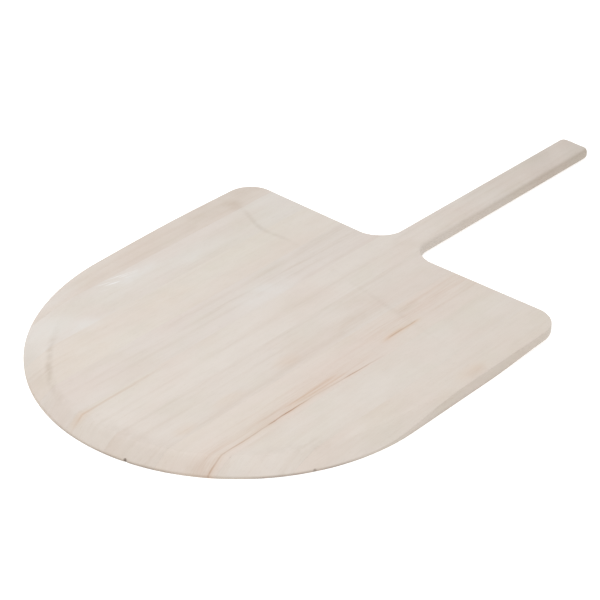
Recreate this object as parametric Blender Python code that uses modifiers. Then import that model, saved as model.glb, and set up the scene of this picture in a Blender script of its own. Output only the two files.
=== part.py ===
"""A wooden pizza peel, glued up edge to edge from nine pale boards.

Metres, +Z up. The peel lies on its flat underside. +Y points along the handle to its end, and
left and right are -X and +X. The origin is the bottom centre of the peel's box.

The middle board runs on past the blade as the whole handle. The finished shape is one hidden
solid, and each board is a plain box cut back to it, as the real boards are glued up first and
sawn and sanded to the outline afterwards.
"""

import math

import bmesh
import bpy
from mathutils import Vector

# Overall sizes
PEEL_LENGTH = 0.711
BLADE_WIDTH = 0.4064
HANDLE_LENGTH = 0.2995
HANDLE_WIDTH = 0.036
THICKNESS = 0.0130

# Outline
FRONT_DEPTH = 0.199
BACK_CORNER_RADIUS = 0.028
SHOULDER_RISE = 0.0018
NECK_RADIUS = 0.028
HANDLE_CORNER_RADIUS = 0.0065

# Front bevel on the upper face: its width and depth at the left and from the tip on, how far from
# the shoulders it begins and is full on the left and on the right, and how much it is curved
LEFT_BEVEL_WIDTH = 0.028
FRONT_BEVEL_WIDTH = 0.0165
LEFT_BEVEL_DEPTH = 0.0078
FRONT_BEVEL_DEPTH = 0.0105
LEFT_BEVEL = (0.085, 0.330)
RIGHT_BEVEL = (0.140, 0.260)
BEVEL_CURVE = 1.2

# Rounding of the upper and lower edges
HANDLE_LEFT_ROUNDING = 0.0038
HANDLE_RIGHT_ROUNDING = 0.0055
HANDLE_LOWER_ROUNDING = 0.0050
BLADE_ROUNDING = 0.0010
FRONT_ROUNDING = 0.0008
BACK_CORNER_LOWER_ROUNDING = 0.0065
LARGEST_ROUNDING = 0.0065

# Steps along each stretch of the outline, across a rounded edge and across the bevel
FRONT_STEPS = 36
SIDE_STEPS = 10
CORNER_STEPS = 8
NECK_STEPS = 10
HANDLE_STEPS = 6
HANDLE_CORNER_STEPS = 4
ROUNDING_STEPS = 3
BEVEL_STEPS = 3
CUTTER_REACH = 0.006
SMALLEST_SHARE = 0.01

# Boards: name, left edge and right edge where each crosses the line of the shoulders, and colour
GLUE_LINE = 0.0003
GLUE_LINE_SLANT = math.radians(0.77)
OVERSIZE = 0.010
HALF_BLADE = BLADE_WIDTH / 2
BOARDS = (
    ("left_edge_stave", -HALF_BLADE - OVERSIZE, -0.1695, (0.60, 0.50, 0.42)),
    ("left_outer_stave", -0.1695, -0.1205, (0.68, 0.60, 0.51)),
    ("left_middle_stave", -0.1205, -0.0710, (0.69, 0.60, 0.50)),
    ("left_inner_stave", -0.0710, -0.0245, (0.65, 0.57, 0.50)),
    ("centre_stave", -0.0245, 0.0223, (0.67, 0.58, 0.49)),
    ("right_inner_stave", 0.0223, 0.0715, (0.64, 0.55, 0.47)),
    ("right_middle_stave", 0.0715, 0.1185, (0.66, 0.54, 0.46)),
    ("right_outer_stave", 0.1185, 0.1635, (0.66, 0.59, 0.51)),
    ("right_edge_stave", 0.1635, HALF_BLADE + OVERSIZE, (0.64, 0.56, 0.48)),
)
HANDLE_BOARD = "centre_stave"

# Lines across the peel
HANDLE_END_Y = PEEL_LENGTH / 2
FRONT_TIP_Y = -PEEL_LENGTH / 2
SHOULDER_Y = HANDLE_END_Y - HANDLE_LENGTH
FRONT_ARC_Y = FRONT_TIP_Y + FRONT_DEPTH


def clear_scene():
    for obj in list(bpy.data.objects):
        bpy.data.objects.remove(obj, do_unlink=True)


def new_collection(name, hidden):
    collection = bpy.data.collections.new(name)
    bpy.context.scene.collection.children.link(collection)
    collection.hide_render = hidden
    return collection


def link_tool(obj, collection):
    """Puts a shape that only cuts others in its collection, as a hidden wire."""
    obj.hide_render = True
    obj.display_type = "WIRE"
    collection.objects.link(obj)


def wood(name, colour):
    """Bare, sanded wood, with no varnish."""
    material = bpy.data.materials.new(name)
    material.use_nodes = True
    shader = material.node_tree.nodes["Principled BSDF"]
    shader.inputs["Base Color"].default_value = (*colour, 1.0)
    shader.inputs["Roughness"].default_value = 0.65
    shader.inputs["Metallic"].default_value = 0.0
    return material


def arc(centre, radii, start, end, steps):
    """Points along an elliptical arc between two angles in degrees."""
    points = []
    for step in range(steps + 1):
        angle = math.radians(start + (end - start) * step / steps)
        x = centre[0] + radii[0] * math.cos(angle)
        y = centre[1] + radii[1] * math.sin(angle)
        points.append(Vector((x, y)))
    return points


def between(first, last, steps):
    """Points that divide a straight run, without its two ends."""
    return [first.lerp(last, step / steps) for step in range(1, steps)]


def right_half_outline():
    """The right half of the outline, from the front tip to the handle's end."""
    half_handle = HANDLE_WIDTH / 2
    corner = BACK_CORNER_RADIUS
    neck = NECK_RADIUS
    tip = HANDLE_CORNER_RADIUS
    corner_centre = (HALF_BLADE - corner, SHOULDER_Y + SHOULDER_RISE - corner)
    neck_centre = (half_handle + neck, SHOULDER_Y + neck)
    tip_centre = (half_handle - tip, HANDLE_END_Y - tip)

    front = arc((0.0, FRONT_ARC_Y), (HALF_BLADE, FRONT_DEPTH), -90, 0, FRONT_STEPS)
    back_corner = arc(corner_centre, (corner, corner), 0, 90, CORNER_STEPS)
    neck_curve = arc(neck_centre, (neck, neck), 270, 180, NECK_STEPS)
    handle_corner = arc(tip_centre, (tip, tip), 0, 90, HANDLE_CORNER_STEPS)
    side = between(front[-1], back_corner[0], SIDE_STEPS)
    handle_side = between(neck_curve[-1], handle_corner[0], HANDLE_STEPS)
    return front + side + back_corner + neck_curve + handle_side + handle_corner


def whole_outline():
    """The closed outline, counter-clockwise from the front tip."""
    right = right_half_outline()
    left = [Vector((-point.x, point.y)) for point in reversed(right[1:])]
    return right + left


def blend(value, low, high):
    """0 below low, 1 above high, and a smooth step between."""
    share = min(max((value - low) / (high - low), 0.0), 1.0)
    return share * share * (3 - 2 * share)


def bevel_share(point):
    """How much of the front bevel there is at this place on the outline, from 0 to 1."""
    return blend(SHOULDER_Y - point.y, *(LEFT_BEVEL if point.x < 0 else RIGHT_BEVEL))


def mixed(first, second, share):
    return first + (second - first) * share


def bevel_depth(point):
    """How far the bevel lowers the upper edge here."""
    full = mixed(LEFT_BEVEL_DEPTH, FRONT_BEVEL_DEPTH, blend(point.x, -0.12, 0.02))
    return full * bevel_share(point)


def bevel_width(point):
    """How wide the bevel is here."""
    full = mixed(LEFT_BEVEL_WIDTH, FRONT_BEVEL_WIDTH, blend(point.x, -0.17, -0.04))
    return full * math.sqrt(bevel_share(point))


def roundings(point):
    """Radii of the upper and lower edges at this place on the outline."""
    blade = mixed(BLADE_ROUNDING, FRONT_ROUNDING, bevel_share(point))
    corner = blend(point.y, SHOULDER_Y - 0.110, SHOULDER_Y - 0.020) * blend(abs(point.x), 0.06, 0.18)
    on_handle = blend(point.y, SHOULDER_Y, SHOULDER_Y + NECK_RADIUS)
    to_right = blend(point.x, -HANDLE_WIDTH / 4, HANDLE_WIDTH / 4)
    handle = mixed(HANDLE_LEFT_ROUNDING, HANDLE_RIGHT_ROUNDING, to_right)
    upper = mixed(blade, handle, on_handle)
    lower = mixed(mixed(blade, BACK_CORNER_LOWER_ROUNDING, corner), HANDLE_LOWER_ROUNDING, on_handle)
    return upper, lower


def slab():
    """The outline as a slab: a filled flat curve, made a mesh with one face for each cap."""
    curve = bpy.data.curves.new("outline", "CURVE")
    curve.dimensions = "2D"
    curve.fill_mode = "BOTH"
    curve.extrude = THICKNESS / 2
    points = whole_outline()
    spline = curve.splines.new("POLY")
    spline.points.add(len(points) - 1)
    for spline_point, point in zip(spline.points, points):
        spline_point.co = (point.x, point.y, 0.0, 1.0)
    spline.use_cyclic_u = True

    guide = bpy.data.objects.new("outline", curve)
    guide.location.z = THICKNESS / 2
    bpy.context.scene.collection.objects.link(guide)
    graph = bpy.context.evaluated_depsgraph_get()
    mesh = bpy.data.meshes.new_from_object(guide.evaluated_get(graph))
    obj = bpy.data.objects.new("finished_shape", mesh)
    obj.matrix_world = guide.matrix_world
    bpy.data.objects.remove(guide, do_unlink=True)

    shape = bmesh.new()
    shape.from_mesh(mesh)
    bmesh.ops.remove_doubles(shape, verts=shape.verts, dist=0.00001)
    bmesh.ops.recalc_face_normals(shape, faces=shape.faces)
    for side in (-1, 1):
        cap = [face for face in shape.faces if face.normal.z * side > 0.9]
        bmesh.ops.dissolve_faces(shape, faces=cap)
    weigh_edges(shape)
    shape.to_mesh(mesh)
    shape.free()
    return obj


def weigh_edges(shape):
    """Gives each edge of the two caps the share of the largest rounding that it gets."""
    weights = shape.edges.layers.float.new("bevel_weight_edge")
    for edge in shape.edges:
        slopes = [abs(face.normal.z) for face in edge.link_faces]
        if max(slopes) > 0.9 and min(slopes) < 0.1:
            middle = (edge.verts[0].co + edge.verts[1].co) / 2
            upper, lower = roundings(middle)
            edge[weights] = (upper if middle.z > 0 else lower) / LARGEST_ROUNDING


def bevel_curve(point):
    """The bevel's section, as (inset, height), from outside the edge to above the upper face.

    It is level with the upper face at its inner line and curves down to the edge.
    """
    depth = bevel_depth(point)
    width = bevel_width(point)
    curve = []
    for step in range(BEVEL_STEPS + 1):
        left_over = 1 - step / BEVEL_STEPS
        curve.append((width * step / BEVEL_STEPS, THICKNESS - depth * left_over**BEVEL_CURVE))
    outer_slope = (curve[1][1] - curve[0][1]) / curve[1][0]
    inner_slope = (curve[-1][1] - curve[-2][1]) / curve[1][0]
    outside = (-CUTTER_REACH, curve[0][1] - outer_slope * CUTTER_REACH)
    inside = (width + CUTTER_REACH, THICKNESS + inner_slope * CUTTER_REACH)
    return [outside] + curve[1:-1] + [inside]


def bevel_sections():
    """Sections of the front bevel's cutter, from the left side round to the right.

    Each stands at the middle of one side of the outline, square to it.
    """
    outline = whole_outline()
    top_z = THICKNESS + 2 * CUTTER_REACH
    sections = []
    for index in range(-FRONT_STEPS - SIDE_STEPS, FRONT_STEPS + SIDE_STEPS):
        start = outline[index]
        end = outline[index + 1]
        point = (start + end) / 2
        if bevel_share(point) < SMALLEST_SHARE:
            continue
        along = (end - start).normalized()
        inward = Vector((-along.y, along.x))
        curve = bevel_curve(point)
        corners = curve + [(curve[-1][0], top_z), (curve[0][0], top_z)]
        section = []
        for inset, height in corners:
            place = point + inward * inset
            section.append(Vector((place.x, place.y, height)))
        sections.append(section)
    return sections


def loft(name, sections):
    """A closed solid through sections that have the same number of corners."""
    shape = bmesh.new()
    rings = [[shape.verts.new(corner) for corner in section] for section in sections]
    for ring, following in zip(rings, rings[1:]):
        for corner in range(len(ring)):
            beside = (corner + 1) % len(ring)
            shape.faces.new((ring[corner], ring[beside], following[beside], following[corner]))
    shape.faces.new(rings[0])
    shape.faces.new(rings[-1])
    bmesh.ops.recalc_face_normals(shape, faces=shape.faces)
    mesh = bpy.data.meshes.new(name)
    shape.to_mesh(mesh)
    shape.free()
    return bpy.data.objects.new(name, mesh)


def finished_shape(tools):
    """The whole peel as one hidden solid: outline, rounded edges and front bevel."""
    obj = slab()
    link_tool(obj, tools)
    round_over = obj.modifiers.new("round over", "BEVEL")
    round_over.limit_method = "WEIGHT"
    round_over.width = LARGEST_ROUNDING
    round_over.segments = ROUNDING_STEPS
    round_over.use_clamp_overlap = False

    cutter = loft("front_bevel_cutter", bevel_sections())
    link_tool(cutter, tools)
    bevel = obj.modifiers.new("front bevel", "BOOLEAN")
    bevel.operation = "DIFFERENCE"
    bevel.object = cutter

    obj.data.shade_smooth()
    return obj


def board(name, left, right, colour, shape, collection):
    """One board of the glue-up: an oversize box that lies along the glue lines, cut to shape."""
    back = HANDLE_LENGTH if name == HANDLE_BOARD else NECK_RADIUS
    front = SHOULDER_Y - FRONT_TIP_Y
    size = (right - left - GLUE_LINE, front + back + 2 * OVERSIZE, THICKNESS + 2 * OVERSIZE)
    centre = ((left + right) / 2, (back - front) / 2, THICKNESS / 2)
    mesh = bpy.data.meshes.new(name)
    box = bmesh.new()
    bmesh.ops.create_cube(box, size=1.0)
    bmesh.ops.scale(box, vec=size, verts=box.verts)
    bmesh.ops.translate(box, vec=centre, verts=box.verts)
    box.to_mesh(mesh)
    box.free()

    obj = bpy.data.objects.new(name, mesh)
    obj.location.y = SHOULDER_Y
    obj.rotation_euler.z = GLUE_LINE_SLANT
    obj.data.materials.append(wood(name, colour))
    cut = obj.modifiers.new("cut to shape", "BOOLEAN")
    cut.operation = "INTERSECT"
    cut.object = shape
    collection.objects.link(obj)
    return obj


def main():
    clear_scene()
    peel = new_collection("pizza_peel", hidden=False)
    tools = new_collection("cutters", hidden=True)
    shape = finished_shape(tools)
    for name, left, right, colour in BOARDS:
        board(name, left, right, colour, shape, peel)


main()
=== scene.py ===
"""Looks of the wooden pizza peel: nine glued boards, sawn to one outline, sanded and left bare.

The peel's whole surface is lofted in rings that follow its outline. Each board is a slice of it
between two glue lines, closed at the cuts, with its own solid procedural wood, so that its grain
runs on over the bevel and down the edges. Metres; +Y points along the handle, and left and right
are -X and +X. Places on the peel are measured from the middle of the shoulders, so that y is
negative on the blade and positive on the handle.
"""

import math

import bmesh
import bpy
from mathutils import Matrix, Vector


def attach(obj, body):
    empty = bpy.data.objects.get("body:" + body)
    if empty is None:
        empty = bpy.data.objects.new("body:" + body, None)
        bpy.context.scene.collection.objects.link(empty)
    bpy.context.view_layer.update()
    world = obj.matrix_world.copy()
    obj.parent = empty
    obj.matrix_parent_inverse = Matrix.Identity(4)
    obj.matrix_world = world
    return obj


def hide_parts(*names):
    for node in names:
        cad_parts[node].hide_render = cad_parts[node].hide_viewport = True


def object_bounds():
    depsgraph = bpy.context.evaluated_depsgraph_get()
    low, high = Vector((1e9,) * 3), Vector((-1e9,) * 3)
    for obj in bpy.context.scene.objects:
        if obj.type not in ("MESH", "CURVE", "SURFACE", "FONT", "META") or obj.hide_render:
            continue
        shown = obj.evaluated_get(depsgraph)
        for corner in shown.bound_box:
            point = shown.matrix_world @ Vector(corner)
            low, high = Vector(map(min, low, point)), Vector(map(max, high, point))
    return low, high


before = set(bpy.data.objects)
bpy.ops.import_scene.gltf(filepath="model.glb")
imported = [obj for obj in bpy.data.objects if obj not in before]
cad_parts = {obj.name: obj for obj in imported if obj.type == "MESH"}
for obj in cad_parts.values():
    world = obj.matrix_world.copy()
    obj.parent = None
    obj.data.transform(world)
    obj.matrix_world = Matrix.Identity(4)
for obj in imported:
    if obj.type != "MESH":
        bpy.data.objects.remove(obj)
CAD_LOW, CAD_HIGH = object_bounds()

# Sizes that the CAD model shares
HALF_BLADE = (CAD_HIGH.x - CAD_LOW.x) / 2
HALF_LENGTH = (CAD_HIGH.y - CAD_LOW.y) / 2
THICKNESS = CAD_HIGH.z - CAD_LOW.z
HANDLE_LENGTH = 0.2995
HALF_HANDLE = 0.018
FRONT_DEPTH = 0.199
BACK_CORNER = 0.028
NECK = 0.028
HANDLE_CORNER = 0.0065
SHOULDER_RISE = 0.0018
SHOULDER_Y = HALF_LENGTH - HANDLE_LENGTH
FRONT_ARC_Y = FRONT_DEPTH - HALF_LENGTH
GLUE_LINE_SLANT = math.radians(0.77)

# Front bevel on the upper face: its width and drop at the left and from the tip on, how far from
# the shoulders it begins and is full on the left and on the right, and how much it is curved
LEFT_BEVEL_WIDTH = 0.028
FRONT_BEVEL_WIDTH = 0.0165
LEFT_BEVEL_DROP = 0.0078
FRONT_BEVEL_DROP = 0.0105
LEFT_BEVEL = (0.085, 0.330)
RIGHT_BEVEL = (0.140, 0.260)
BEVEL_CURVE = 1.2

# Where, across the blade, the bevel's drop and width change from the left's to the tip's
DROP_CHANGE = (-0.12, 0.02)
WIDTH_CHANGE = (-0.17, -0.04)

# Rounding of the upper and lower edges, and where the lower edge's larger rounding grows towards
# the back corners, along the blade and across it
HANDLE_LEFT_ROUNDING = 0.0038
HANDLE_RIGHT_ROUNDING = 0.0055
HANDLE_LOWER_ROUNDING = 0.0050
BLADE_ROUNDING = 0.0010
FRONT_ROUNDING = 0.0008
BACK_CORNER_LOWER_ROUNDING = 0.0065
CORNER_ALONG = (-0.110, -0.020)
CORNER_ACROSS = (0.06, 0.18)

# Chips broken out of the front edge: place, half width and depth. In half widths, how far from its
# middle a chip has its full depth, and between which distances its dark colour fades.
CHIP_FLOOR = 0.3
CHIP_DARK = (0.5, 1.25)
CHIPS = (
    ((0.0504, -0.4055), 0.0016, 0.0010),
    ((0.1790, -0.3093), 0.0019, 0.0012),
)

# Fineness of the mesh: spacing along the outline, rings in a rounding and in the bevel, and width
# of the narrow ring of flat face inside them
OUTLINE_STEP = 0.0012
ROUNDING_RINGS = 8
BEVEL_RINGS = 16
FLAT_RING = 0.0006

# Gap between two boards, and the tiny arris on their edges that are sharper than this angle, which
# is in radians
GLUE_GAP = 0.00001
GLUE_ARRIS = 0.00003
SHARP_ANGLE = 1.0

# How far the grain wanders sideways: length of the wave and its reach, from slow to quick
WANDERS = ((0.16, 0.0026), (0.035, 0.0007), (0.009, 0.0003))

# Shape of the noise: how many widths deep a feature of the grain is, how many times longer than
# wide a cloud is, and how far apart in the noise two neighbouring boards are
GRAIN_DEPTH = 6
CLOUD_LENGTH = 1.8
WANDER_STEP = 3.7
GRAIN_STEP = 7.3
CLOUD_STEP = 5.1

# How far a face's normal has to point up for the upper face to begin and to be complete, and how
# far along the peel for cut end grain
UPPER_FACING = (0.30, 0.70)
END_FACING = (0.35, 0.95)

# Tones that darken or redden the wood where a mark, a streak or a stain lies on it, and tones of
# painted shade on the sides and the low front edge
BAND_TONE = (0.955, 0.935, 0.915)
BROWN_TONE = (0.82, 0.76, 0.69)
OLIVE_TONE = (0.965, 0.975, 0.925)
ORANGE_TONE = (0.96, 0.80, 0.64)
RED_TONE = (0.84, 0.70, 0.60)
HEART_TONE = (0.60, 0.43, 0.32)
PINK_TONE = (0.98, 0.935, 0.92)
GREEN_TONE = (0.955, 0.965, 0.93)
GREY_TONE = (0.965, 0.965, 0.965)
SMUDGE_TONE = (0.84, 0.82, 0.79)
# Painted shade low on the sides, and the slanting bands that darken the handle towards its end
BAND_AND_LOW_SHADE_TONE = (0.90, 0.885, 0.87)
# Painted shade on the side faces and, with some grime, on the handle's rounded edges
SIDE_SHADE_AND_GRIME_TONE = (0.80, 0.77, 0.725)
# Partly dirt, partly painted shade on the low front edge
RIM_DIRT_AND_SHADE_TONE = (0.60, 0.56, 0.53)
END_GRAIN_TONE = (0.86, 0.82, 0.77)
CHIP_TONE = (0.22, 0.16, 0.12)
SCUFF_COLOUR = (0.540, 0.530, 0.515)
SCRATCH_COLOUR = (0.640, 0.640, 0.635)

# Growth bands, from wide to fine: width, length, noise number, range of the noise and strength.
# A noise number only keeps one layer's noise apart from the others'.
GROWTH_BANDS = (
    (0.014, 0.30, 0.0, (0.36, 0.66), 0.30),
    (0.0044, 0.10, 10.0, (0.42, 0.70), 0.20),
    (0.0015, 0.045, 20.0, (0.54, 0.70), 0.24),
)

# Clouds of tone: tone, size, noise number, noise detail, range of the noise and strength
CLOUDS = (
    (PINK_TONE, 0.045, 1.0, 2.0, (0.40, 0.70), 0.60),
    (GREEN_TONE, 0.030, 2.0, 2.0, (0.45, 0.72), 0.50),
    (GREY_TONE, 0.009, 3.0, 3.0, (0.40, 0.75), 0.50),
)

# Stretches of the dark heart line: middle, reach, strength of the line and of its orange halo
HEART_STRETCHES = (
    (-0.193, 0.034, 0.58, 0.20),
    (-0.280, 0.040, 0.95, 0.28),
    (-0.330, 0.050, 0.34, 0.20),
    (-0.385, 0.036, 0.55, 0.58),
)

# Dull white rubbed patches: place on the blade, half width, half length and strength
RUBBED_PATCHES = (
    (-0.152, -0.206, 0.017, 0.044, 0.55),
    (-0.139, -0.145, 0.020, 0.055, 0.30),
    (-0.182, -0.280, 0.018, 0.045, 0.40),
    (-0.121, -0.296, 0.015, 0.019, 0.50),
    (-0.134, -0.314, 0.030, 0.026, 0.32),
    (-0.036, -0.145, 0.024, 0.055, 0.50),
    (-0.150, -0.330, 0.024, 0.024, 0.45),
)

# Soft stains: tone, place on the blade, half width, half length and strength
STAINS = (
    (BROWN_TONE, -0.190, -0.050, 0.030, 0.105, 0.36),
    (BROWN_TONE, -0.177, -0.047, 0.014, 0.016, 0.45),
    (BROWN_TONE, 0.058, -0.122, 0.014, 0.026, 0.25),
    (ORANGE_TONE, 0.060, -0.217, 0.012, 0.022, 0.26),
    (ORANGE_TONE, 0.064, -0.295, 0.010, 0.026, 0.28),
    (ORANGE_TONE, 0.067, -0.352, 0.009, 0.018, 0.34),
    (ORANGE_TONE, 0.193, -0.122, 0.012, 0.028, 0.26),
    (ORANGE_TONE, -0.014, -0.396, 0.008, 0.016, 0.45),
    (OLIVE_TONE, -0.115, -0.100, 0.055, 0.085, 0.55),
    (OLIVE_TONE, 0.128, -0.030, 0.020, 0.050, 0.45),
    (ORANGE_TONE, -0.098, -0.215, 0.018, 0.050, 0.18),
    (ORANGE_TONE, -0.085, -0.330, 0.030, 0.045, 0.16),
)


def blend(value, low, high):
    """0 below low, 1 above high, and a smooth step between."""
    share = min(max((value - low) / (high - low), 0.0), 1.0)
    return share * share * (3 - 2 * share)


def arc(centre, radii, start, end):
    """Points along an elliptical arc between two angles in degrees, about OUTLINE_STEP apart."""
    fewest_steps = 8
    span = math.radians(abs(end - start)) * max(radii)
    steps = max(fewest_steps, round(span / OUTLINE_STEP))
    points = []
    for step in range(steps + 1):
        angle = math.radians(start + (end - start) * step / steps)
        x = centre[0] + radii[0] * math.cos(angle)
        y = centre[1] + radii[1] * math.sin(angle)
        points.append(Vector((x, y)))
    return points


def between(first, last):
    """Points that divide a straight run, without its two ends, about twice OUTLINE_STEP apart."""
    steps = max(2, round((last - first).length / (2 * OUTLINE_STEP)))
    return [first.lerp(last, step / steps) for step in range(1, steps)]


def outline():
    """The closed outline, counter-clockwise from the front tip."""
    corner_centre = (HALF_BLADE - BACK_CORNER, SHOULDER_Y + SHOULDER_RISE - BACK_CORNER)
    neck_centre = (HALF_HANDLE + NECK, SHOULDER_Y + NECK)
    tip_centre = (HALF_HANDLE - HANDLE_CORNER, HALF_LENGTH - HANDLE_CORNER)
    front = arc((0.0, FRONT_ARC_Y), (HALF_BLADE, FRONT_DEPTH), -90, 0)
    corner = arc(corner_centre, (BACK_CORNER, BACK_CORNER), 0, 90)
    neck = arc(neck_centre, (NECK, NECK), 270, 180)
    tip = arc(tip_centre, (HANDLE_CORNER, HANDLE_CORNER), 0, 90)
    end = between(tip[-1], Vector((0.0, HALF_LENGTH)))
    right = front + between(front[-1], corner[0]) + corner + between(corner[-1], neck[0])
    right += neck + between(neck[-1], tip[0]) + tip + end
    left = [Vector((-point.x, point.y)) for point in reversed(right[1:])]
    return right + [Vector((0.0, HALF_LENGTH))] + left


def bevel_share(point):
    """How much of the front bevel there is at this place on the outline, from 0 to 1."""
    from_shoulders = SHOULDER_Y - point.y
    return blend(from_shoulders, *(LEFT_BEVEL if point.x < 0 else RIGHT_BEVEL))


def mixed(first, second, share):
    """first where share is 0, second where it is 1, and in proportion between."""
    return first + (second - first) * share


def bevel_drop(point):
    """How far the upper edge drops here."""
    full = mixed(LEFT_BEVEL_DROP, FRONT_BEVEL_DROP, blend(point.x, *DROP_CHANGE))
    return full * bevel_share(point)


def bevel_width(point):
    """How wide the bevel is here."""
    full = mixed(LEFT_BEVEL_WIDTH, FRONT_BEVEL_WIDTH, blend(point.x, *WIDTH_CHANGE))
    return full * math.sqrt(bevel_share(point))


def roundings(point):
    """Radii of the upper and lower edges at this place on the outline."""
    blade = mixed(BLADE_ROUNDING, FRONT_ROUNDING, bevel_share(point))
    corner = blend(point.y - SHOULDER_Y, *CORNER_ALONG) * blend(abs(point.x), *CORNER_ACROSS)
    on_handle = blend(point.y, SHOULDER_Y, SHOULDER_Y + NECK)
    to_right = blend(point.x, -HALF_HANDLE / 2, HALF_HANDLE / 2)
    handle = mixed(HANDLE_LEFT_ROUNDING, HANDLE_RIGHT_ROUNDING, to_right)
    upper = mixed(blade, handle, on_handle)
    lower = mixed(mixed(blade, BACK_CORNER_LOWER_ROUNDING, corner), HANDLE_LOWER_ROUNDING, on_handle)
    return upper, lower


def bevelled_height(inset, width, drop):
    """Height of the upper face this far in from the edge: the bevel curves a little to the edge."""
    if width == 0:
        return THICKNESS
    left_over = max(0.0, 1 - inset / width)
    return THICKNESS - drop * left_over**BEVEL_CURVE


def profile(point):
    """The edge's section at one place: (inset, height) from the lower face's rim to the upper's."""
    upper_radius, lower_radius = roundings(point)
    drop = bevel_drop(point)
    width = bevel_width(point)
    reach = max(upper_radius + FLAT_RING, width + FLAT_RING)
    lower = [(lower_radius + FLAT_RING, 0.0)]
    upper = []
    for ring in range(ROUNDING_RINGS + 1):
        turn = math.pi / 2 * ring / ROUNDING_RINGS
        inset = lower_radius * (1 - math.sin(turn))
        lower.append((inset, lower_radius * (1 - math.cos(turn))))
        inset = upper_radius * (1 - math.cos(turn))
        fall = upper_radius * (1 - math.sin(turn))
        upper.append((inset, bevelled_height(inset, width, drop) - fall))
    for ring in range(1, BEVEL_RINGS + 1):
        inset = upper_radius + (reach - upper_radius) * ring / BEVEL_RINGS
        upper.append((inset, bevelled_height(inset, width, drop)))
    return lower + upper


def chipped(point, inset):
    """How far in the edge is at this place, with the chips broken out of it."""
    for (x, y), half_width, depth in CHIPS:
        away = (point - Vector((x, y + SHOULDER_Y))).length
        hollow = depth * (1 - blend(away, CHIP_FLOOR * half_width, half_width))
        inset = max(inset, hollow)
    return inset


def peel_surface():
    """The whole peel as one closed surface: rings round the edge, and one face for each flat."""
    points = outline()
    count = len(points)
    surface = bmesh.new()
    columns = []
    for index, point in enumerate(points):
        along = (points[(index + 1) % count] - points[index - 1]).normalized()
        inward = Vector((-along.y, along.x))
        column = []
        for inset, height in profile(point):
            place = point + inward * chipped(point, inset)
            column.append(surface.verts.new((place.x, place.y, height)))
        columns.append(column)
    for index, column in enumerate(columns):
        following = columns[(index + 1) % count]
        for ring in range(len(column) - 1):
            corners = (column[ring], following[ring], following[ring + 1], column[ring + 1])
            surface.faces.new(corners).smooth = True
    surface.faces.new([column[-1] for column in columns])
    surface.faces.new([column[0] for column in reversed(columns)])
    surface.normal_update()
    return surface


def slice_off(surface, x, side):
    """Cuts along the glue line that crosses the shoulders at x, keeps one side and closes it."""
    across = Vector((math.cos(GLUE_LINE_SLANT), math.sin(GLUE_LINE_SLANT), 0.0))
    everything = surface.verts[:] + surface.edges[:] + surface.faces[:]
    cut = bmesh.ops.bisect_plane(
        surface,
        geom=everything,
        plane_co=Vector((x - side * GLUE_GAP / 2, SHOULDER_Y, 0.0)),
        plane_no=across * side,
        clear_outer=True,
    )
    rim = [item for item in cut["geom_cut"] if isinstance(item, bmesh.types.BMEdge)]
    closed = bmesh.ops.contextual_create(surface, geom=rim)["faces"]
    for face in closed:
        face.smooth = False
        face.normal_update()
    arris = [edge for edge in closed[0].edges if abs(edge.calc_face_angle(0.0)) > SHARP_ANGLE]
    bmesh.ops.bevel(surface, geom=arris, offset=GLUE_ARRIS, segments=1, affect="EDGES")


def board_piece(name, left, right):
    """One board: the slice of the peel's surface between two glue lines."""
    surface = peel_surface()
    if left is not None:
        slice_off(surface, left, -1)
    if right is not None:
        slice_off(surface, right, 1)
    bmesh.ops.recalc_face_normals(surface, faces=surface.faces)
    mesh = bpy.data.meshes.new(name)
    surface.to_mesh(mesh)
    surface.free()
    piece = bpy.data.objects.new(name, mesh)
    bpy.context.scene.collection.objects.link(piece)
    return piece


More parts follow.
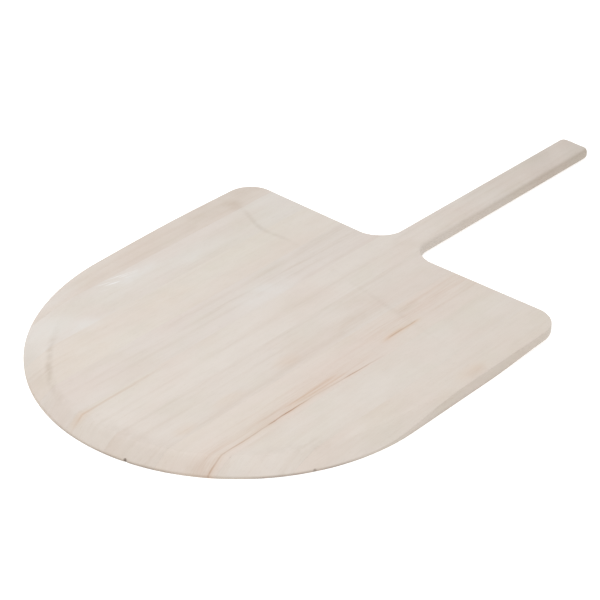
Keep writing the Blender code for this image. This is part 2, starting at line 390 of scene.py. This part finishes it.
class Wood:
    """One board's material, and the places in the board that its layers are drawn from."""

    def __init__(self, name, lean, drift, seed):
        """lean is how far the grain moves across for each metre down, drift for each metre along."""
        self.material = bpy.data.materials.new(name)
        self.material.use_nodes = True
        self.tree = self.material.node_tree
        self.shader = self.tree.nodes["Principled BSDF"]
        self.seed = seed

        place = self.add("ShaderNodeTexCoord", {}).outputs["Object"]
        shift = (0.0, -SHOULDER_Y, 0.0)
        self.plan = self.add("ShaderNodeMapping", {"Vector": place, "Location": shift}).outputs[0]
        plan = self.add("ShaderNodeSeparateXYZ", {"Vector": self.plan}).outputs
        self.x, self.y, self.z = plan[0], plan[1], plan[2]

        turn = {"Vector": self.plan, "Rotation": (0.0, 0.0, -GLUE_LINE_SLANT)}
        turned = self.add("ShaderNodeMapping", turn).outputs[0]
        board = self.add("ShaderNodeSeparateXYZ", {"Vector": turned}).outputs
        self.along = board[1]
        self.depth = self.math("SUBTRACT", THICKNESS, self.z)
        leaning = self.math("MULTIPLY_ADD", self.depth, -lean, board[0])
        drifting = self.math("MULTIPLY_ADD", self.along, -drift, leaning)
        self.across = drifting
        for length, reach in WANDERS:
            self.across = self.math("ADD", self.across, self.wander(length, reach))

        facing = self.add("ShaderNodeNewGeometry", {}).outputs["Normal"]
        normal = self.add("ShaderNodeSeparateXYZ", {"Vector": facing}).outputs
        self.upper = self.ramp(normal[2], *UPPER_FACING)
        self.level = self.math("ABSOLUTE", normal[2])
        self.end_grain = self.ramp(self.math("ABSOLUTE", normal[1]), *END_FACING)

    def add(self, kind, inputs, **settings):
        """A new node, with its settings and its inputs, which are values or other outputs."""
        node = self.tree.nodes.new(kind)
        for setting, value in settings.items():
            setattr(node, setting, value)
        for socket, value in inputs.items():
            self.feed(node.inputs[socket], value)
        return node

    def feed(self, socket, value):
        """Links another output to the socket, or sets the socket's own value."""
        if isinstance(value, bpy.types.NodeSocket):
            self.tree.links.new(value, socket)
        else:
            socket.default_value = value

    def math(self, operation, *values):
        """The result of one operation on numbers or other outputs."""
        node = self.add("ShaderNodeMath", dict(enumerate(values)), operation=operation)
        return node.outputs[0]

    def times(self, first, *others):
        """The product of two or more shares."""
        for other in others:
            first = self.math("MULTIPLY", first, other)
        return first

    def ramp(self, value, low, high, start=0.0, end=1.0):
        """A smooth step from start, at low, to end, at high."""
        inputs = {"Value": value, "From Min": low, "From Max": high, "To Min": start, "To Max": end}
        node = self.add("ShaderNodeMapRange", inputs, interpolation_type="SMOOTHSTEP")
        return node.outputs[0]

    def fall(self, value, low, high, most=1.0):
        """A smooth fall from most, at low, to 0, at high."""
        return self.ramp(value, low, high, most, 0.0)

    def near(self, value, middle, reach, most=1.0):
        """most where the value is at the middle, falling smoothly to 0 at reach on either side."""
        away = self.math("ABSOLUTE", self.math("SUBTRACT", value, middle))
        return self.fall(away, 0.0, reach, most)

    def within(self, value, low, high, fade):
        """1 between low and high, fading to 0 outside them."""
        return self.times(self.ramp(value, low - fade, low), self.fall(value, high, high + fade))

    def place(self, x, y, z):
        """A place made from its three coordinates."""
        return self.add("ShaderNodeCombineXYZ", {"X": x, "Y": y, "Z": z}).outputs[0]

    def noise(self, place, detail=2.0):
        """Noise at this place, 0 to 1, one feature to a unit."""
        inputs = {"Vector": place, "Scale": 1.0, "Detail": detail, "Roughness": 0.5}
        return self.add("ShaderNodeTexNoise", inputs).outputs[0]

    def wander(self, length, reach):
        """A sideways wander of the grain, up to about half of reach each way."""
        step = self.math("DIVIDE", self.along, length)
        wave = self.noise(self.place(step, self.seed * WANDER_STEP, length), detail=1.0)
        return self.math("MULTIPLY_ADD", wave, reach, -reach / 2)

    def grain(self, width, length, number, detail=1.0):
        """Noise drawn out along the grain, in features of this width and length."""
        x = self.math("DIVIDE", self.across, width)
        y = self.math("DIVIDE", self.along, length)
        layer = self.seed * GRAIN_STEP + number
        z = self.math("MULTIPLY_ADD", self.depth, 1 / (GRAIN_DEPTH * width), layer)
        return self.noise(self.place(x, y, z), detail)

    def mottle(self, size, number, detail=2.0):
        """Cloudy noise in patches of about this size."""
        scale = (1 / size, 1 / (CLOUD_LENGTH * size), 1 / size)
        shift = (self.seed * CLOUD_STEP, number, 0.0)
        inputs = {"Vector": self.plan, "Scale": scale, "Location": shift}
        return self.noise(self.add("ShaderNodeMapping", inputs).outputs[0], detail)

    def blotches(self, size, number, low, high, least):
        """Uneven patches of about this size, from least, where the noise is low, to 1."""
        return self.ramp(self.mottle(size, number, detail=3.0), low, high, least, 1.0)

    def patch(self, x, y, half_width, half_length):
        """A soft round patch on the upper face, broken up by clouds."""
        across = self.math("DIVIDE", self.math("SUBTRACT", self.x, x), half_width)
        along = self.math("DIVIDE", self.math("SUBTRACT", self.y, y), half_length)
        squares = self.math("ADD", self.times(across, across), self.times(along, along))
        away = self.math("SQRT", squares)
        clouds = self.blotches(size=0.011, number=4.0, low=0.25, high=0.75, least=0.35)
        return self.times(self.fall(away, 0.15, 1.0), clouds, self.upper)

    def tint(self, colour, share, tone):
        """Multiplies the colour by a tone as far as share says."""
        return self.mix(colour, share, tone, "MULTIPLY")

    def mix(self, colour, share, other, blend_type="MIX"):
        inputs = {0: share, 6: colour, 7: (*other, 1.0)}
        node = self.add("ShaderNodeMix", inputs, data_type="RGBA", blend_type=blend_type)
        return node.outputs[2]


def growth_bands(wood, colour):
    """Pale and dark growth bands that run the length of the board."""
    for width, length, number, (low, high), strength in GROWTH_BANDS:
        share = wood.ramp(wood.grain(width, length, number), low, high, 0.0, strength)
        colour = wood.tint(colour, share, BAND_TONE)
    return colour


def fibres(wood, colour):
    """Fine fibres and short pores. Returns the colour, and the height for the bump."""
    fine = wood.grain(width=0.0008, length=0.035, number=30.0, detail=2.0)
    pores = wood.ramp(wood.grain(width=0.0004, length=0.0055, number=40.0), low=0.60, high=0.76)
    pore_darkness = 0.22
    pore_depth = 0.7
    fibre_darkness = wood.ramp(fine, low=0.35, high=0.70, start=0.0, end=0.34)
    colour = wood.tint(colour, fibre_darkness, BAND_TONE)
    colour = wood.tint(colour, wood.times(pores, pore_darkness), BROWN_TONE)
    return colour, wood.math("SUBTRACT", fine, wood.times(pores, pore_depth))


def clouds(wood, colour):
    """Slow pinkish and greenish changes of tone over the board, and small greyer patches."""
    for tone, size, number, detail, (low, high), strength in CLOUDS:
        share = wood.ramp(wood.mottle(size, number, detail), low, high, 0.0, strength)
        colour = wood.tint(colour, share, tone)
    return colour


def streaks(wood, colour, rows):
    """Single darker lines along the grain: tone, across, half width, front, back, strength."""
    longest_fade = 0.030
    uneven = wood.grain(width=0.0022, length=0.034, number=50.0, detail=2.0)
    broken = wood.ramp(uneven, low=0.32, high=0.62, start=0.25, end=1.15)
    for tone, across, half_width, front, back, strength in rows:
        line = wood.near(wood.across, across, half_width, strength)
        fade = min(longest_fade, (back - front) / 4)
        run = wood.within(wood.along, front + fade, back - fade, fade)
        colour = wood.tint(colour, wood.times(line, run, broken), tone)
    return colour


def heartwood(wood, colour, across, half_width, front, back, strength):
    """A region of fine red lines on a reddish ground."""
    fade = 0.03
    share_of_lines = 0.70
    share_of_ground = 0.30
    beside = wood.near(wood.across, across, half_width)
    region = wood.times(beside, wood.within(wood.along, front + fade, back - fade, fade))
    fine = wood.grain(width=0.0012, length=0.050, number=60.0, detail=2.0)
    lines = wood.ramp(fine, low=0.44, high=0.66)
    share = wood.math("MULTIPLY_ADD", lines, share_of_lines * strength, share_of_ground * strength)
    return wood.tint(colour, wood.times(region, share), RED_TONE)


def heart_line(wood, colour):
    """The one dark line of heartwood, which swings to the right towards the back."""
    front, back, fade = -0.400, -0.165, 0.020
    least_strength = 0.22
    swing = wood.ramp(wood.along, low=-0.265, high=-0.120, start=0.1113, end=0.1180)
    swing = wood.math("ADD", swing, wood.wander(length=0.024, reach=0.0018))
    away = wood.math("ABSOLUTE", wood.math("SUBTRACT", wood.across, swing))
    core = wood.fall(away, 0.0001, 0.0011)
    halo = wood.fall(away, 0.0, 0.0046)
    patchy = wood.grain(width=0.0030, length=0.012, number=70.0, detail=2.0)
    uneven = wood.ramp(patchy, low=0.32, high=0.60, start=0.35, end=1.0)
    for middle, reach, dark, glow in HEART_STRETCHES:
        here = wood.near(wood.along, middle, reach)
        colour = wood.tint(colour, wood.times(halo, here, uneven, glow), ORANGE_TONE)
        colour = wood.tint(colour, wood.times(core, here, uneven, dark), HEART_TONE)
    run = wood.within(wood.along, front, back, fade)
    return wood.tint(colour, wood.times(core, run, least_strength), HEART_TONE)


def sanding_mark(wood, colour):
    """A faint slanted line across the blade, where the sander stopped."""
    slope = -0.185
    middle_y = -0.0765
    half_width = 0.0050
    line_y = wood.math("MULTIPLY_ADD", wood.x, slope, middle_y)
    sag = wood.near(wood.x, middle=-0.125, reach=0.045, most=-0.0080)
    line_y = wood.math("ADD", line_y, sag)
    away = wood.math("ABSOLUTE", wood.math("SUBTRACT", wood.y, line_y))
    line = wood.fall(away, 0.0, half_width)
    left = wood.near(wood.x, middle=-0.128, reach=0.075, most=0.62)
    right = wood.near(wood.x, middle=0.06, reach=0.13, most=0.26)
    uneven = wood.blotches(size=0.016, number=7.0, low=0.30, high=0.65, least=0.35)
    strength = wood.times(wood.math("ADD", left, right), uneven)
    return wood.tint(colour, wood.times(line, strength, wood.upper), SMUDGE_TONE)


def edge_inset(wood):
    """Distance in from the blade's edge, along its sides and round its front."""
    x = wood.math("DIVIDE", wood.x, HALF_BLADE)
    front_y = wood.math("SUBTRACT", wood.y, FRONT_ARC_Y - SHOULDER_Y)
    y = wood.math("DIVIDE", wood.math("MINIMUM", front_y, 0.0), FRONT_DEPTH)
    share = wood.math("SQRT", wood.math("ADD", wood.times(x, x), wood.times(y, y)))
    return wood.math("MULTIPLY_ADD", share, -HALF_BLADE, HALF_BLADE)


def bevel_smudge(wood, colour):
    """A grey line along the inner line of the front bevel, a wider grey band inside the front edge,
    and a greyer bevel itself.
    """
    inset = edge_inset(wood)
    uneven = wood.blotches(size=0.0065, number=5.0, low=0.30, high=0.65, least=0.20)

    left = wood.near(wood.x, middle=-0.093, reach=0.074, most=1.00)
    left = wood.times(left, wood.fall(wood.y, -0.318, -0.298))
    side = wood.near(wood.x, middle=-0.175, reach=0.045, most=0.16)
    side = wood.times(side, wood.within(wood.y, low=-0.30, high=-0.14, fade=0.06))
    inner_line = wood.ramp(wood.x, low=-0.160, high=-0.050, start=0.0305, end=0.0160)
    narrow = wood.near(wood.math("SUBTRACT", inset, inner_line), middle=0.0, reach=0.0062)
    narrow = wood.times(narrow, wood.math("ADD", left, side))

    right = wood.near(wood.x, middle=0.163, reach=0.045, most=0.45)
    middle = wood.near(wood.x, middle=0.028, reach=0.085, most=0.42)
    soft = wood.times(wood.math("ADD", right, middle), wood.fall(wood.y, -0.30, -0.26))
    wide = wood.times(wood.near(inset, middle=0.0200, reach=0.0140), soft)
    # A mottled grey line along the bevel's inner line, and a wider grey band
    grey_line_and_band = wood.times(wood.math("ADD", narrow, wide), uneven, wood.upper)

    # Greyer towards the front edge, on the bevel
    greyer_bevel = wood.fall(inset, 0.010, 0.021, most=0.40)
    greyer_bevel = wood.times(greyer_bevel, wood.fall(wood.y, -0.385, -0.330), wood.upper)
    return wood.tint(colour, wood.math("ADD", grey_line_and_band, greyer_bevel), SMUDGE_TONE)


def rim_dirt_and_shade(wood, colour):
    """Darkens the low thin front edge, at the tip and at the right: partly dirt, partly painted
    shade where the edge meets the floor.
    """
    edge = wood.fall(edge_inset(wood), 0.0006, 0.0024)
    # Painted shade, partly dirt: darkest at the bottom of the edge, next to the floor
    low = wood.fall(wood.z, 0.0004, 0.0026)
    uneven = wood.blotches(size=0.012, number=6.0, low=0.30, high=0.60, least=0.45)
    tip = wood.within(wood.x, low=-0.030, high=0.080, fade=0.022)
    right = wood.within(wood.x, low=0.155, high=0.185, fade=0.016)
    stretches = wood.math("ADD", tip, right)
    front = wood.fall(wood.y, -0.28, -0.22)
    return wood.tint(colour, wood.times(edge, low, uneven, stretches, front), RIM_DIRT_AND_SHADE_TONE)


def scuffs(wood, colour):
    """Chalky scuffs: short slanted scratches at the left, and dull white rubbed patches."""
    slant = math.radians(14)
    scratch_width = 0.0021
    scratch_length = 0.024
    scratch_strength = 0.9
    noise_number = 2.2
    turn = {"Vector": wood.plan, "Rotation": (0.0, 0.0, slant)}
    turned = wood.add("ShaderNodeMapping", turn).outputs[0]
    split = wood.add("ShaderNodeSeparateXYZ", {"Vector": turned}).outputs
    x = wood.math("DIVIDE", split[0], scratch_width)
    y = wood.math("DIVIDE", split[1], scratch_length)
    scratch = wood.ramp(wood.noise(wood.place(x, y, noise_number), detail=1.0), 0.56, 0.66)
    region = wood.patch(x=-0.158, y=-0.224, half_width=0.012, half_length=0.034)
    scratched = wood.times(scratch, region, scratch_strength)
    colour = wood.mix(colour, scratched, SCRATCH_COLOUR)
    for x, y, half_width, half_length, strength in RUBBED_PATCHES:
        rubbed = wood.patch(x, y, half_width, half_length)
        colour = wood.mix(colour, wood.times(rubbed, strength), SCUFF_COLOUR)
    return colour


def stains(wood, colour):
    """Soft stains on the upper face: a darker back corner, and warm and brown patches."""
    for tone, x, y, half_width, half_length, strength in STAINS:
        stain = wood.patch(x, y, half_width, half_length)
        colour = wood.tint(colour, wood.times(stain, strength), tone)
    return colour


def cut_ends(wood, colour):
    """Darker end grain where the boards are cut across, and the dark hollows of the chips."""
    end_strength = 0.55
    dark, clear = CHIP_DARK
    colour = wood.tint(colour, wood.times(wood.end_grain, end_strength), END_GRAIN_TONE)
    for (x, y), half_width, _ in CHIPS:
        offset = wood.place(wood.math("SUBTRACT", wood.x, x), wood.math("SUBTRACT", wood.y, y), 0.0)
        away = wood.add("ShaderNodeVectorMath", {0: offset}, operation="LENGTH").outputs["Value"]
        hollow = wood.fall(away, dark * half_width, clear * half_width)
        colour = wood.tint(colour, hollow, CHIP_TONE)
    return colour


def handle_bands_and_painted_shade(wood, colour):
    """Slanting darker bands that deepen towards the handle's end, and painted shade: on the sides,
    low on the sides, and on the handle's rounded edges, where it is partly grime.
    """
    band_slant = 0.9
    band_length = 0.035
    noise_number = 1.3
    slanted = wood.math("MULTIPLY_ADD", wood.x, band_slant, wood.y)
    bands = wood.noise(wood.place(wood.math("DIVIDE", slanted, band_length), 0.0, noise_number))
    uneven = wood.ramp(bands, low=0.25, high=0.75, start=0.60, end=1.25)
    towards_end = wood.ramp(wood.y, low=0.02, high=0.31)
    # Slanting bands, darker towards the handle's end
    colour = wood.tint(colour, wood.times(towards_end, uneven), BAND_AND_LOW_SHADE_TONE)

    # Painted shade: faces that don't point up are darker
    side = wood.fall(wood.level, 0.30, 0.70, most=0.52)
    on_handle = wood.ramp(wood.y, low=-0.005, high=0.035)
    # Painted shade, partly grime, on the handle's rounded edges, stronger towards its end
    rounded = wood.fall(wood.level, 0.50, 0.995)
    more_to_end = wood.ramp(wood.y, low=0.0, high=0.30, start=0.55, end=1.05)
    rounding_shade_and_grime = wood.times(rounded, more_to_end, on_handle)
    colour = wood.tint(colour, wood.math("MAXIMUM", side, rounding_shade_and_grime), SIDE_SHADE_AND_GRIME_TONE)
    # Painted shade low on the sides, next to the floor
    low = wood.times(side, wood.fall(wood.z, 0.0005, 0.0050))
    return wood.tint(colour, low, BAND_AND_LOW_SHADE_TONE)


def wood_for(name, board, seed):
    """Bare, sanded pale wood for one board."""
    bump_strength = 0.6
    bump_height = 0.00005
    wood = Wood(name, board["lean"], board["drift"], seed)
    colour = wood.mix((1.0, 1.0, 1.0, 1.0), 1.0, board["tone"])
    colour = growth_bands(wood, colour)
    colour = clouds(wood, colour)
    for region in board["heartwood"]:
        colour = heartwood(wood, colour, *region)
    colour = streaks(wood, colour, board["streaks"])
    if name == HEART_BOARD:
        colour = heart_line(wood, colour)
    colour, height = fibres(wood, colour)
    colour = sanding_mark(wood, colour)
    colour = bevel_smudge(wood, colour)
    colour = rim_dirt_and_shade(wood, colour)
    colour = stains(wood, colour)
    colour = scuffs(wood, colour)
    colour = cut_ends(wood, colour)
    colour = handle_bands_and_painted_shade(wood, colour)
    wood.feed(wood.shader.inputs["Base Color"], colour)
    roughness = wood.ramp(height, low=0.0, high=0.8, start=0.72, end=0.52)
    wood.feed(wood.shader.inputs["Roughness"], roughness)
    inputs = {"Strength": bump_strength, "Distance": bump_height, "Height": height}
    bump = wood.add("ShaderNodeBump", inputs)
    wood.feed(wood.shader.inputs["Normal"], bump.outputs["Normal"])
    return wood.material


# The board that the dark heart line is in
HEART_BOARD = "right_middle_board"

# Boards from left to right: CAD node, left and right glue lines where they cross the shoulders,
# tone, lean and drift of the grain, single streaks, and regions of reddish heartwood
BOARDS = (
    {
        "node": "left_edge_stave",
        "sides": (None, -0.1695),
        "tone": (0.507, 0.455, 0.410),
        "lean": 0.9,
        "drift": 0.004,
        "streaks": (
            (BROWN_TONE, -0.1890, 0.0039, -0.300, -0.020, 0.13),
            (BROWN_TONE, -0.1765, 0.0029, -0.280, 0.000, 0.14),
        ),
        "heartwood": (),
    },
    {
        "node": "left_outer_stave",
        "sides": (-0.1695, -0.1205),
        "tone": (0.524, 0.488, 0.453),
        "lean": 0.5,
        "drift": -0.005,
        "streaks": (
            (BROWN_TONE, -0.1348, 0.0039, -0.270, -0.150, 0.13),
            (BROWN_TONE, -0.1510, 0.0021, -0.200, 0.000, 0.08),
        ),
        "heartwood": (),
    },
    {
        "node": "left_middle_stave",
        "sides": (-0.1205, -0.0710),
        "tone": (0.525, 0.482, 0.437),
        "lean": -0.4,
        "drift": 0.0,
        "streaks": (
            (BROWN_TONE, -0.1148, 0.0104, -0.270, -0.150, 0.13),
            (BROWN_TONE, -0.1010, 0.0029, -0.400, -0.330, 0.17),
            (BROWN_TONE, -0.0940, 0.0029, -0.400, -0.330, 0.17),
        ),
        "heartwood": (),
    },
    {
        "node": "left_inner_stave",
        "sides": (-0.0710, -0.0245),
        "tone": (0.518, 0.473, 0.437),
        "lean": 0.3,
        "drift": 0.0105,
        "streaks": (
            (BROWN_TONE, -0.0490, 0.0042, -0.230, 0.010, 0.26),
            (BROWN_TONE, -0.0490, 0.0042, -0.420, -0.150, 0.16),
            (BROWN_TONE, -0.0615, 0.0047, -0.260, -0.050, 0.20),
            (BROWN_TONE, -0.0615, 0.0060, -0.420, -0.200, 0.12),
            (BROWN_TONE, -0.0390, 0.0034, -0.380, -0.040, 0.17),
            (BROWN_TONE, -0.0655, 0.0078, -0.090, 0.010, 0.24),
            (BROWN_TONE, -0.0500, 0.0230, -0.150, 0.030, 0.13),
            (BROWN_TONE, -0.0268, 0.0044, -0.130, 0.020, 0.20),
        ),
        "heartwood": (),
    },
    {
        "node": "centre_stave",
        "sides": (-0.0245, 0.0223),
        "tone": (0.524, 0.479, 0.438),
        "lean": 0.25,
        "drift": 0.0,
        "streaks": (
            (BROWN_TONE, 0.0005, 0.0031, -0.420, 0.200, 0.16),
            (RED_TONE, -0.0200, 0.0023, -0.420, -0.290, 0.50),
            (BROWN_TONE, 0.0090, 0.0026, -0.400, -0.300, 0.14),
            (BROWN_TONE, 0.0130, 0.0039, 0.020, 0.300, 0.14),
            (BROWN_TONE, -0.0090, 0.0029, 0.000, 0.260, 0.13),
        ),
        "heartwood": (),
    },
    {
        "node": "right_inner_stave",
        "sides": (0.0223, 0.0715),
        "tone": (0.517, 0.470, 0.429),
        "lean": -0.3,
        "drift": 0.0,
        "streaks": (
            (BROWN_TONE, 0.0253, 0.0034, -0.420, 0.000, 0.22),
            (BROWN_TONE, 0.0420, 0.0034, -0.420, -0.170, 0.17),
            (BROWN_TONE, 0.0550, 0.0036, -0.270, -0.170, 0.13),
            (BROWN_TONE, 0.0645, 0.0078, -0.250, -0.120, 0.22),
            (BROWN_TONE, 0.0672, 0.0086, -0.420, -0.220, 0.21),
        ),
        "heartwood": ((0.0560, 0.0170, -0.17, -0.07, 0.28),),
    },
    {
        "node": "right_middle_stave",
        "sides": (0.0715, 0.1185),
        "tone": (0.527, 0.471, 0.426),
        "lean": 0.17,
        "drift": 0.0,
        "streaks": (
            (RED_TONE, 0.0780, 0.0026, -0.100, 0.010, 0.22),
            (BROWN_TONE, 0.0810, 0.0060, -0.095, -0.060, 0.30),
            (RED_TONE, 0.0880, 0.0031, -0.120, 0.010, 0.20),
            (RED_TONE, 0.0908, 0.0029, -0.380, -0.100, 0.13),
            (RED_TONE, 0.1020, 0.0026, -0.080, 0.010, 0.20),
            (ORANGE_TONE, 0.1010, 0.0066, -0.145, -0.080, 0.50),
            (HEART_TONE, 0.1013, 0.0015, -0.136, -0.086, 0.50),
            (ORANGE_TONE, 0.1080, 0.0095, -0.290, -0.190, 0.27),
            (RED_TONE, 0.1050, 0.0022, -0.275, -0.200, 0.42),
            (RED_TONE, 0.1092, 0.0018, -0.262, -0.190, 0.42),
            (RED_TONE, 0.1030, 0.0026, -0.420, -0.250, 0.24),
            (RED_TONE, 0.1113, 0.0030, -0.425, -0.372, 0.55),
        ),
        "heartwood": (
            (0.0880, 0.0190, -0.16, 0.03, 0.34),
            (0.1040, 0.0160, -0.42, -0.15, 0.34),
        ),
    },
    {
        "node": "right_outer_stave",
        "sides": (0.1185, 0.1635),
        "tone": (0.523, 0.479, 0.436),
        "lean": 0.2,
        "drift": 0.0,
        "streaks": (
            (BROWN_TONE, 0.1215, 0.0039, -0.080, 0.000, 0.15),
            (BROWN_TONE, 0.1414, 0.0039, -0.320, -0.220, 0.11),
            (BROWN_TONE, 0.1550, 0.0034, -0.370, -0.280, 0.12),
        ),
        "heartwood": ((0.1185, 0.0060, -0.42, -0.24, 0.25),),
    },
    {
        "node": "right_edge_stave",
        "sides": (0.1635, None),
        "tone": (0.523, 0.473, 0.427),
        "lean": -0.7,
        "drift": 0.003,
        "streaks": (
            (BROWN_TONE, 0.1780, 0.0039, -0.300, -0.030, 0.09),
            (RED_TONE, 0.1955, 0.0065, -0.135, -0.105, 0.19),
        ),
        "heartwood": (),
    },
)


def add_boards():
    """Every board as its own piece, in place of its CAD node."""
    for seed, board in enumerate(BOARDS):
        name = board["node"].replace("stave", "board")
        piece = board_piece(name, *board["sides"])
        piece.data.materials.append(wood_for(name, board, float(seed)))
        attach(piece, "root")
        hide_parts(board["node"])


def add_camera():
    """Looks down on the peel from in front and to its right, turned slightly about its own axis."""
    azimuth = math.radians(43.79)
    elevation = math.radians(31.89)
    roll = math.radians(-1.14)
    distance = 1.760
    target = Vector((-0.0024, -0.0784, 0.0125))
    back = Vector(
        (
            math.sin(azimuth) * math.cos(elevation),
            -math.cos(azimuth) * math.cos(elevation),
            math.sin(elevation),
        )
    )
    data = bpy.data.cameras.new("camera")
    data.lens = 112.3
    data.sensor_width = 36.0
    camera = bpy.data.objects.new("camera", data)
    turn = (-back).to_track_quat("-Z", "Y").to_matrix().to_4x4() @ Matrix.Rotation(roll, 4, "Z")
    camera.matrix_world = Matrix.Translation(target + back * distance) @ turn
    bpy.context.scene.collection.objects.link(camera)
    bpy.context.scene.camera = camera


def add_floor():
    """A plain pale floor just below the peel, bright enough to lose the peel's shadow."""
    half_size = 6.0
    gap = 0.0002
    grey = 0.80
    glow = 0.50
    mesh = bpy.data.meshes.new("floor")
    shape = bmesh.new()
    bmesh.ops.create_grid(shape, x_segments=1, y_segments=1, size=half_size)
    shape.to_mesh(mesh)
    shape.free()
    floor = bpy.data.objects.new("floor", mesh)
    floor.location.z = CAD_LOW.z - gap
    material = bpy.data.materials.new("floor")
    material.use_nodes = True
    shader = material.node_tree.nodes["Principled BSDF"]
    shader.inputs["Base Color"].default_value = (grey, grey, grey, 1.0)
    shader.inputs["Roughness"].default_value = 0.9
    shader.inputs["Emission Color"].default_value = (1.0, 1.0, 1.0, 1.0)
    shader.inputs["Emission Strength"].default_value = glow
    mesh.materials.append(material)
    bpy.context.scene.collection.objects.link(floor)


def add_lights():
    """An even white sky, and one broad softbox over the front of the blade."""
    softbox_place = Vector((-0.10, -0.55, 1.25))
    softbox_target = Vector((0.0, -0.25, 0.0))
    world = bpy.data.worlds.new("studio")
    world.use_nodes = True
    sky = world.node_tree.nodes["Background"]
    sky.inputs["Color"].default_value = (1.0, 1.0, 1.0, 1.0)
    sky.inputs["Strength"].default_value = 1.0
    bpy.context.scene.world = world

    data = bpy.data.lights.new("softbox", "AREA")
    data.shape = "DISK"
    data.size = 1.2
    data.energy = 9.0
    softbox = bpy.data.objects.new("softbox", data)
    softbox.location = softbox_place
    aim = softbox_target - softbox_place
    softbox.rotation_euler = aim.to_track_quat("-Z", "Y").to_euler()
    bpy.context.scene.collection.objects.link(softbox)
    bpy.context.scene.view_settings.view_transform = "Standard"


add_boards()
add_camera()
add_floor()
add_lights()
